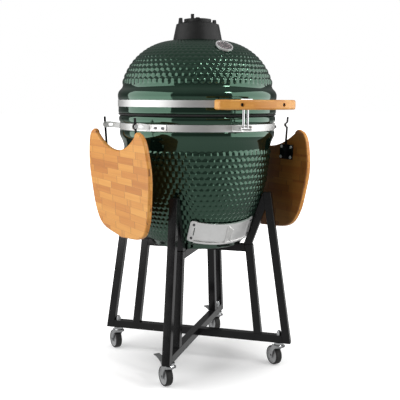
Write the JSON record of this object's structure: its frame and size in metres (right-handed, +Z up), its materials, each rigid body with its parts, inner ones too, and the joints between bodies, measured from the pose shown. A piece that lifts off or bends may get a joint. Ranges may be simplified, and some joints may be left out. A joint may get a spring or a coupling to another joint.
{
  "type": "kamado ceramic grill",
  "caption": "Dark green dimpled ceramic kamado grill with a hinged dome lid, bamboo handle and folding side shelves, on a black steel stand with casters.",
  "frame": {"origin": "on the floor, straight below the centre of the round ceramic body", "axes": "+X to the grill's left-to-right as one stands in front of it, +Y towards the lid hinge at the back, +Z up"},
  "size_m": [0.5932, 0.715, 1.1492],
  "materials": {
    "green_glaze": "gloss",
    "black_powder_coat": "satin",
    "grey_felt": "matte",
    "band_steel": "brushed",
    "vent_steel": "satin",
    "bright_fasteners": "gloss",
    "zinc_plate": "satin",
    "spring_steel": "satin",
    "chrome_latch": "gloss",
    "fire_clay": "matte",
    "cast_iron_grate": "matte",
    "steel_grid": "satin",
    "black_cast_iron": "matte",
    "bamboo_handle": "satin",
    "bamboo_shelf": "satin",
    "dial_face": "matte",
    "needle_paint": "matte",
    "clear_glass": "gloss",
    "caster_zinc": "satin",
    "caster_hub": "satin",
    "caster_rubber": "matte"
  },
  "bodies": {
    "body": {"stand_bottom_bars": "black_powder_coat", "stand_top_bars": "black_powder_coat", "stand_outer_uprights": "black_powder_coat", "stand_body_supports": "black_powder_coat", "stand_inner_uprights": "black_powder_coat", "caster_stems": "zinc_plate", "caster_nuts": "zinc_plate", "base_shell": "green_glaze", "base_gasket": "grey_felt", "base_band": "band_steel", "base_band_bolts": "bright_fasteners", "fire_box": "fire_clay", "charcoal_grate": "cast_iron_grate", "fire_ring": "fire_clay", "cooking_grate": "steel_grid", "vent_frame": "vent_steel", "vent_screws": "bright_fasteners", "hinge_base_bracket": "black_powder_coat", "hinge_pin": "bright_fasteners", "hinge_springs": "spring_steel", "latch_bracket": "vent_steel", "shelf_arms": "vent_steel", "shelf_pins": "bright_fasteners"},
    "lid": {"lid_shell": "green_glaze", "lid_gasket": "grey_felt", "lid_band": "band_steel", "lid_bolts": "bright_fasteners", "hinge_lid_bracket": "black_powder_coat", "latch_catch": "chrome_latch", "handle_brackets": "black_powder_coat", "handle_grip": "bamboo_handle", "thermometer_case": "chrome_latch", "thermometer_dial": "dial_face", "thermometer_glass": "clear_glass", "vent_cap": "black_cast_iron", "damper_bolt": "black_cast_iron"},
    "thermometer_pointer": {"thermometer_needle": "needle_paint"},
    "top_damper": {"damper_disc": "black_cast_iron"},
    "draft_door": {"vent_door": "vent_steel"},
    "latch": {"latch_bail": "chrome_latch"},
    "left_shelf": {"left_shelf_board": "bamboo_shelf", "left_shelf_brackets": "black_powder_coat", "left_shelf_screws": "bright_fasteners"},
    "right_shelf": {"right_shelf_board": "bamboo_shelf", "right_shelf_brackets": "black_powder_coat", "right_shelf_screws": "bright_fasteners"},
    "caster_fl": {"caster_fork_fl": "caster_zinc"},
    "wheel_fl": {"caster_wheel_fl": "caster_hub", "caster_tyre_fl": "caster_rubber"},
    "caster_fr": {"caster_fork_fr": "caster_zinc"},
    "wheel_fr": {"caster_wheel_fr": "caster_hub", "caster_tyre_fr": "caster_rubber"},
    "caster_rl": {"caster_fork_rl": "caster_zinc"},
    "wheel_rl": {"caster_wheel_rl": "caster_hub", "caster_tyre_rl": "caster_rubber"},
    "caster_rr": {"caster_fork_rr": "caster_zinc"},
    "wheel_rr": {"caster_wheel_rr": "caster_hub", "caster_tyre_rr": "caster_rubber"},
    "brake_fl": {"brake_pedal_fl": "caster_zinc"},
    "brake_rr": {"brake_pedal_rr": "caster_zinc"}
  },
  "joints": [
    {"name": "lid_hinge", "type": "hinge", "parent": "body", "child": "lid", "pos_m": [0, 0.3, 0.83], "axis": [-1, 0, 0], "range_deg": [0, 68], "stiffness_Nm_per_rad": 35.6, "springref_deg": 68.01},
    {"name": "draft_door_slide", "type": "hinge", "parent": "body", "child": "draft_door", "pos_m": [0, -0.00217, 0.54315], "axis": [0, 0.3987, -0.9171], "range_deg": [0, 25]},
    {"name": "top_damper_turn", "type": "hinge", "parent": "lid", "child": "top_damper", "pos_m": [0, 0, 1.13], "axis": [0, 0, 1], "range_deg": [0, 45]},
    {"name": "latch_swing", "type": "hinge", "parent": "body", "child": "latch", "pos_m": [0, -0.297, 0.795], "axis": [1, 0, 0], "range_deg": [0, 120]},
    {"name": "left_shelf_fold", "type": "hinge", "parent": "body", "child": "left_shelf", "pos_m": [-0.275, 0, 0.797], "axis": [0, 1, 0], "range_deg": [0, 93.7]},
    {"name": "right_shelf_fold", "type": "hinge", "parent": "body", "child": "right_shelf", "pos_m": [0.275, 0, 0.797], "axis": [0, -1, 0], "range_deg": [0, 93.7]},
    {"name": "thermometer_pointer_turn", "type": "hinge", "parent": "lid", "child": "thermometer_pointer", "pos_m": [0, -0.1698, 1.03932], "axis": [0, 0.5592, -0.829], "range_deg": [0, 270]},
    {"name": "caster_fl_swivel", "type": "hinge", "parent": "body", "child": "caster_fl", "pos_m": [-0.20223, -0.20223, 0.083], "axis": [0, 0, 1], "continuous": true},
    {"name": "wheel_fl_roll", "type": "hinge", "parent": "caster_fl", "child": "wheel_fl", "pos_m": [-0.20223, -0.17623, 0.03175], "axis": [1, 0, 0], "continuous": true},
    {"name": "caster_fr_swivel", "type": "hinge", "parent": "body", "child": "caster_fr", "pos_m": [0.20223, -0.20223, 0.083], "axis": [0, 0, 1], "continuous": true},
    {"name": "wheel_fr_roll", "type": "hinge", "parent": "caster_fr", "child": "wheel_fr", "pos_m": [0.20223, -0.17623, 0.03175], "axis": [1, 0, 0], "continuous": true},
    {"name": "caster_rl_swivel", "type": "hinge", "parent": "body", "child": "caster_rl", "pos_m": [-0.20223, 0.20223, 0.083], "axis": [0, 0, 1], "continuous": true},
    {"name": "wheel_rl_roll", "type": "hinge", "parent": "caster_rl", "child": "wheel_rl", "pos_m": [-0.20223, 0.22823, 0.03175], "axis": [1, 0, 0], "continuous": true},
    {"name": "caster_rr_swivel", "type": "hinge", "parent": "body", "child": "caster_rr", "pos_m": [0.20223, 0.20223, 0.083], "axis": [0, 0, 1], "continuous": true},
    {"name": "wheel_rr_roll", "type": "hinge", "parent": "caster_rr", "child": "wheel_rr", "pos_m": [0.20223, 0.22823, 0.03175], "axis": [1, 0, 0], "continuous": true},
    {"name": "brake_fl_press", "type": "hinge", "parent": "caster_fl", "child": "brake_fl", "pos_m": [-0.20223, -0.17973, 0.0712], "axis": [-1, 0, 0], "range_deg": [0, 14]},
    {"name": "brake_rr_press", "type": "hinge", "parent": "caster_rr", "child": "brake_rr", "pos_m": [0.20223, 0.22473, 0.0712], "axis": [-1, 0, 0], "range_deg": [0, 14]}
  ]
}
